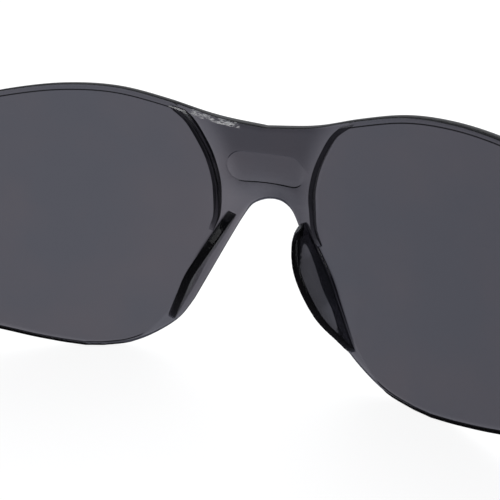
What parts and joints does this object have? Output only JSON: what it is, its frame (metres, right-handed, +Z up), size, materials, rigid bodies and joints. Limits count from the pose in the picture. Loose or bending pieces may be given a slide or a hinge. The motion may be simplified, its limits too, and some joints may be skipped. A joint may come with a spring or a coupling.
{
  "type": "safety glasses",
  "caption": "Wrap-round safety glasses with a one-piece smoke-tinted front, moulded nose flanges and folding temple arms with soft sleeves.",
  "frame": {"origin": "on the surface that the open glasses stand on, in the middle of their width and depth", "axes": "+Z up, -Y the way the wearer looks, +X the wearer's left"},
  "size_m": [0.14, 0.164, 0.0479],
  "materials": {
    "smoke_front": "gloss smoke-tinted polycarbonate",
    "smoke_arm": "gloss smoke-tinted polycarbonate",
    "soft_sleeve": "matt soft-touch elastomer",
    "screw_steel": "plated steel"
  },
  "bodies": {
    "front": {"lens_front": "smoke_front", "left_hinge_screw": "screw_steel", "right_hinge_screw": "screw_steel"},
    "left_temple": {"left_temple_arm": "smoke_arm", "left_temple_sleeve": "soft_sleeve"},
    "right_temple": {"right_temple_arm": "smoke_arm", "right_temple_sleeve": "soft_sleeve"}
  },
  "joints": [
    {"name": "left_temple_fold", "type": "hinge", "parent": "front", "child": "left_temple", "pos_m": [0.0668, -0.03876, 0.0308], "axis": [0, 0, 1], "range_deg": [0, 93]},
    {"name": "right_temple_fold", "type": "hinge", "parent": "front", "child": "right_temple", "pos_m": [-0.0668, -0.03876, 0.0308], "axis": [0, 0, -1], "range_deg": [0, 85]}
  ]
}
